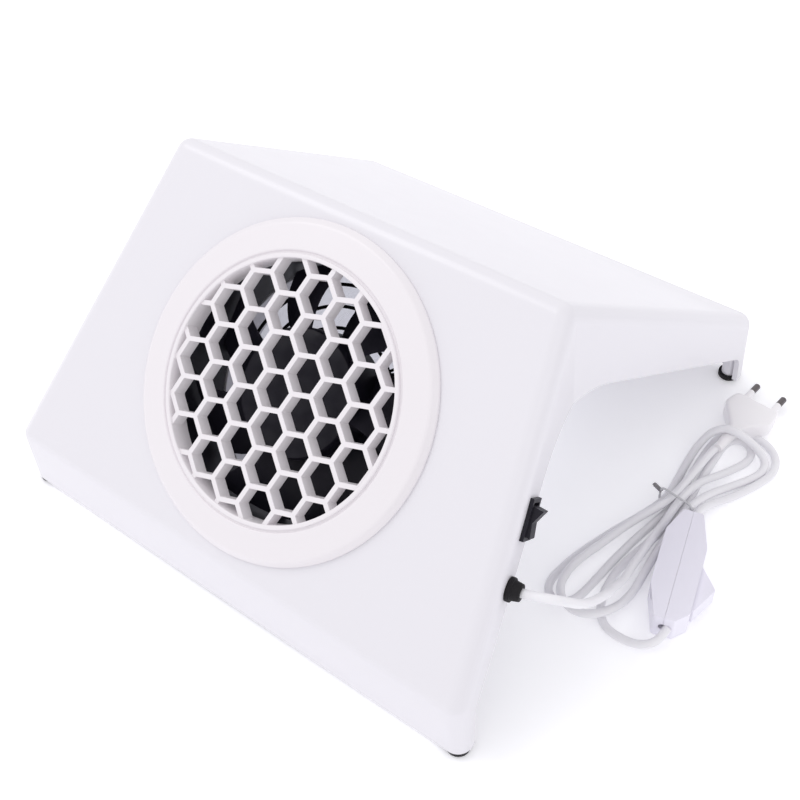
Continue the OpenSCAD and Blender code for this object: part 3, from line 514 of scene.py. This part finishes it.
def blade(number):
    """One curved blade: steep at the hub and flatter towards its tip."""
    turn = math.radians(BLADE_PHASE + 360 * number / BLADES)
    spans, chords = 10, 10
    verts = []
    for side in (BLADE_HALF_T, -BLADE_HALF_T):
        for i in range(spans + 1):
            s = i / spans
            r = HUB_R - BLADE_ROOT + (BLADE_TIP_R - HUB_R + BLADE_ROOT) * s
            sweep = -BLADE_SWEEP * s * s
            wide = math.radians(BLADE_TURN - BLADE_TURN_LESS * s)
            rise = BLADE_RISE - BLADE_RISE_LESS * s
            for k in range(chords + 1):
                c = k / chords
                g = turn + sweep + wide * (c - 0.5)
                camber = BLADE_CAMBER * math.sin(math.pi * c)
                skin = side * math.sin(math.pi * (BLADE_EDGE + (1 - 2 * BLADE_EDGE) * c)) ** 0.5
                z = HUB_TOP - BLADE_DROP - rise * c - camber + skin
                verts.append((r * math.cos(g), r * math.sin(g), z))
    faces = []
    row, layer = chords + 1, (spans + 1) * (chords + 1)
    for i in range(spans):
        for k in range(chords):
            a = i * row + k
            faces.append((a, a + 1, a + row + 1, a + row))
            faces.append((layer + a, layer + a + row, layer + a + row + 1, layer + a + 1))
    rim = list(range(row))
    rim += [i * row + chords for i in range(1, spans + 1)]
    rim += [spans * row + k for k in range(chords - 1, -1, -1)]
    rim += [i * row for i in range(spans - 1, 0, -1)]
    for a, b in zip(rim, rim[1:] + rim[:1]):
        faces.append((a, layer + a, layer + b, b))
    return verts, faces


def turned(profile, steps=72):
    """Vertices and faces of a turned solid, from (radius, height) pairs round it."""
    rings = []
    for k in range(steps):
        g = 2 * math.pi * k / steps
        rings.append([(r * math.cos(g), r * math.sin(g), z) for r, z in profile])
    verts, faces = loft(rings)
    n, last = len(profile), (steps - 1) * len(profile)
    for k in range(n):
        faces.append((last + k, last + (k + 1) % n, (k + 1) % n, k))
    return verts, faces


def joined(parts):
    """The vertices and faces of several solids as one list each."""
    verts, faces = [], []
    for v, f in parts:
        base = len(verts)
        verts += v
        faces += [tuple(base + i for i in face) for face in f]
    return verts, faces


def add_impeller():
    """A cup-shaped hub with its blades, which turns with the rotor."""
    inner_r, inner_top, boss_foot = HUB_R - HUB_WALL, HUB_TOP - 3, HUB_TOP - 9
    cup = turned([(HUB_BORE_R, HUB_TOP - 0.4), (3.4, HUB_TOP), (31.5, HUB_TOP), (34, HUB_TOP - 0.8),
                  (HUB_R, HUB_TOP - 2.4), (HUB_R, HUB_FOOT), (inner_r, HUB_FOOT),
                  (inner_r, inner_top), (7, inner_top), (6, boss_foot), (HUB_BORE_R, boss_foot)])
    verts, faces = joined([cup] + [blade(k) for k in range(BLADES)])
    fan = mesh_object("impeller_moulding", verts, faces, "rotor", fan_matrix(), 32)
    paint(fan, "black_plastic")
    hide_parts("fan_impeller")


# ----------------------------------------------------------------------- dust bag

# the bag's mouth: its depth under the face and its radius
MOUTH_D = 62.5
MOUTH_R = 74.4
# the far end's middle, the half width where the bag is widest, and what it loses by the far end
BAG_END = Vector((0, 104, 33))
BAG_WIDEST = 82
BAG_NARROWS = 12
BAG_END_HALF_H = 36
# where along the bag its end starts to close
BAG_CLOSES = 0.62
BAG_RINGS = 46
BAG_STEPS = 120
# softness of the bend where the cloth meets the table
TABLE_BLEND = 2.5
# a tube sewn flat at its closed end: its girth by its depth, in metres
HEM_STEPS = 120
# depth under the face of the plane that the hem's heights are measured from
HEM_D = 71.8
HEM_PROFILE = ((74.2, 3.6), (76.2, 4.4), (76.9, 8), (76.2, 11.4), (74.2, 12.2))


def bag_half_sizes(s, ease):
    """The smooth outline's half width and half height at s."""
    close = math.sqrt(max(0.0, 1 - max(0.0, (s - BAG_CLOSES) / (1 - BAG_CLOSES)) ** 2.4))
    swell = (BAG_WIDEST - MOUTH_R) * math.sin(math.pi * min(1, s * 1.2))
    half_w = (MOUTH_R + swell - BAG_NARROWS * ease) * close
    half_h = (MOUTH_R + (BAG_END_HALF_H - MOUTH_R) * ease) * max(close, 0.06)
    return half_w, half_h


def cloth_relief(g, s):
    """How far the folds, the creases and the gather at the mouth stand out at the angle g."""
    c, sn = math.cos(g), math.sin(g)
    gather = (1 - min(1, s * 5)) * 1.3 * math.sin(26 * g)
    fold = 3.2 * min(1, s * 3) * noise.noise(Vector((c * 2.2, sn * 2.2, s * 5.0)))
    wander = 2 * noise.noise(Vector((c, sn, s * 2)))
    crease = 1.5 * min(1, s * 4) * math.sin(9 * g + 7 * s + wander)
    return fold + crease + (gather if s > 0.03 else 0)


def height_on_table(p):
    """The height of a point of the bag, bent up where it would sink into the table."""
    if p.z >= 60:
        return p.z
    floor = 1.3 + 0.7 * noise.noise(Vector((p.x * 0.05, p.y * 0.05, 0)))
    return floor + math.log1p(math.exp(min(60, (p.z - floor) / TABLE_BLEND))) * TABLE_BLEND


def bag_ring(s):
    """The bag's outline at s, from its mouth at 0 to its closed end at 1."""
    up = FACE_ANGLE + (math.pi / 2 - FACE_ANGLE) * min(1.0, s * 2.2)
    ease = s * s * (3 - 2 * s)
    centre = face_point(FAN_T, MOUTH_D).lerp(BAG_END, ease ** 0.85)
    half_w, half_h = bag_half_sizes(s, ease)
    ring = []
    for k in range(BAG_STEPS):
        g = 2 * math.pi * k / BAG_STEPS
        out = cloth_relief(g, s)
        p = centre + Vector((0, math.cos(up), math.sin(up))) * ((half_h + out) * math.sin(g))
        p += Vector(((half_w + out) * math.cos(g), 0, 0))
        p.z = height_on_table(p)
        ring.append(p)
    return ring


def thicken(obj, thickness):
    """Gives cloth its thickness, inwards from the surface that was drawn."""
    skin = obj.modifiers.new("cloth", "SOLIDIFY")
    skin.thickness = thickness * MM
    skin.offset = -1


def add_dust_bag(hem):
    """A cloth bag gathered on the collar; it sags on to the table under the housing."""
    rings = [bag_ring(i / BAG_RINGS) for i in range(BAG_RINGS + 1)]
    verts, faces = loft(rings, cap_end=True)
    bag = mesh_object("bag_cloth_shell", verts, faces, "housing", smooth_angle=180)
    thicken(bag, 0.5)
    paint(bag, "bag_cloth")
    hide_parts("dust_bag")


def add_bag_elastic():
    """The hem that holds the bag on its collar, ruched by the elastic inside it."""
    rings = []
    for r, height in HEM_PROFILE:
        ring = []
        for k in range(HEM_STEPS):
            g = 2 * math.pi * k / HEM_STEPS
            ripple = 0.5 * math.sin(30 * g) if r > 75 else 0
            ring.append(((r + ripple) * math.cos(g), (r + ripple) * math.sin(g), height - HEM_D))
        rings.append(ring)
    verts, faces = loft(rings)
    band = mesh_object("bag_hem", verts, faces, "housing", fan_matrix(), 180)
    thicken(band, 0.6)
    paint(band, "bag_cloth")
    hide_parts("bag_elastic")
    return band


# ---------------------------------------------------------------- floor and light

FLOOR_HALF = 6
WORLD_COLOUR = (0.985, 0.98, 1.0, 1)
WORLD_STRENGTH = 0.88


def add_floor():
    """A plain white table top."""
    h = FLOOR_HALF
    mesh = bpy.data.meshes.new("floor")
    mesh.from_pydata([(-h, -h, 0), (h, -h, 0), (h, h, 0), (-h, h, 0)], [], [(0, 1, 2, 3)])
    floor = bpy.data.objects.new("floor", mesh)
    bpy.context.scene.collection.objects.link(floor)
    mat, shader = shader_material("floor", (0.93, 0.93, 0.95), 0.6, emission=FLOOR_GLOW)
    grain(mat, shader, 400, 0.02, 0.0002)
    floor.data.materials.append(mat)


def add_area(name, location, size, power):
    """A white area light, turned towards the object."""
    data = bpy.data.lights.new(name, "AREA")
    data.shape = "RECTANGLE"
    data.size, data.size_y = size
    data.energy = power
    obj = bpy.data.objects.new(name, data)
    obj.location = location
    towards = Vector((0, 0, 0.08)) - Vector(location)
    obj.rotation_euler = towards.to_track_quat("-Z", "Y").to_euler()
    bpy.context.scene.collection.objects.link(obj)


def add_light():
    """An even white studio with three soft lights."""
    world = bpy.data.worlds.new("studio")
    world.use_nodes = True
    background = world.node_tree.nodes["Background"]
    background.inputs["Color"].default_value = WORLD_COLOUR
    background.inputs["Strength"].default_value = WORLD_STRENGTH
    bpy.context.scene.world = world
    add_area("key", (-1.0, -0.4, 1.8), (1.1, 1.1), 9)
    add_area("back", (-0.2, 1.6, 1.5), (1.8, 1.0), 1.2)
    add_area("side", (1.2, -0.5, 1.0), (0.9, 0.7), 1.2)
    bpy.context.scene.view_settings.view_transform = "Standard"


# ------------------------------------------------------------------ run the build

# how far the sharp edges of each node are rounded, in millimetres
SOFT_EDGES = {
    "housing_shell": 0.7, "switch_body": 0.5, "switch_rocker": 0.5, "inline_shell_back": 1.0,
    "inline_shell_front": 1.0, "inline_rocker": 0.7, "cord_bushing": 0.4, "bag_collar": 0.4,
    "wiring_cover": 0.4, "cord_clamp": 0.4, "rubber_feet": 0.5,
}


def main():
    add_camera()
    for name, obj in NODES.items():
        shade(obj.data, SHARP)
        paint(obj, NODE_SLOT[name])
    soft = {node: softened(node, width) for node, width in SOFT_EDGES.items()}
    on_lead = [soft["cord_bushing"], soft["inline_shell_back"], soft["inline_shell_front"],
               soft["inline_rocker"], NODES["inline_screws"], NODES["inline_contacts"]]
    on_lead += add_tie()
    add_cords(add_plug() + [NODES["plug_pins"], NODES["plug_sleeves"]])
    add_impeller()
    add_dust_bag(add_bag_elastic())
    add_floor()
    add_light()


main()
